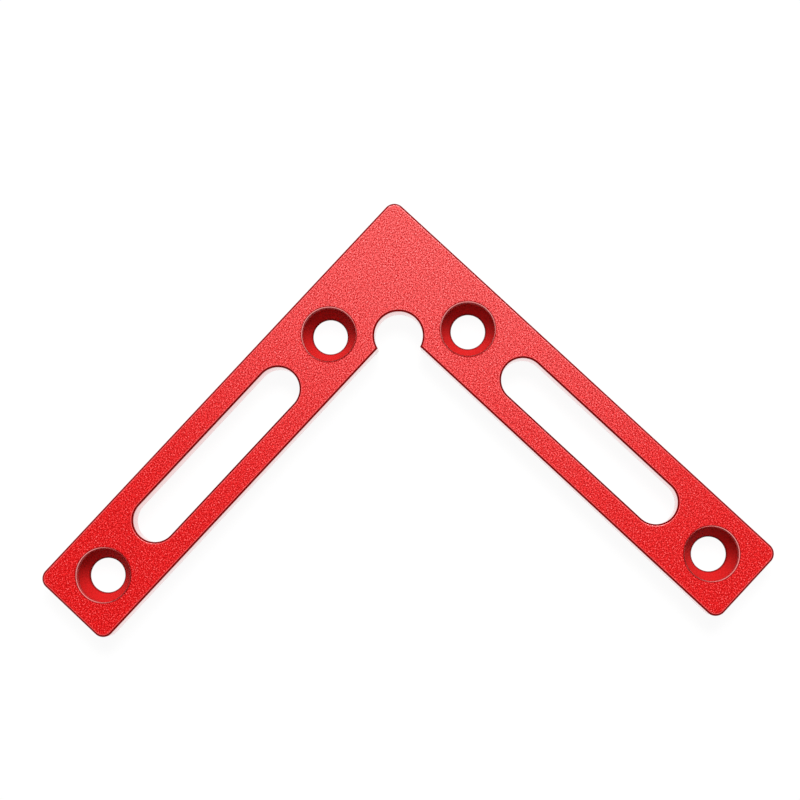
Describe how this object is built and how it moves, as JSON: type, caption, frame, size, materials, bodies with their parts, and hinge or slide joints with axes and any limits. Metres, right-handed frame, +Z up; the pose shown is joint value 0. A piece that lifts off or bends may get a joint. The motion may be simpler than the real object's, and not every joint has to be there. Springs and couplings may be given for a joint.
{
  "type": "corner clamping square",
  "caption": "L-shaped right-angle plate in red anodised aluminium that holds boards square for clamping, with clamp slots, recessed screw holes and a round corner relief.",
  "frame": {"origin": "centre of the square outline that the two arms span, on the lower face that lies on the work", "axes": "+Z up through the plate's thickness to the face with the screw-head recesses; +X along one arm and +Y along the other, both from the heel towards the toe"},
  "size_m": [0.12, 0.12, 0.008],
  "materials": {
    "red_anodised": "bead-blasted, then dyed red and anodised"
  },
  "bodies": {
    "root": {"square_plate": "red_anodised"}
  },
  "joints": []
}
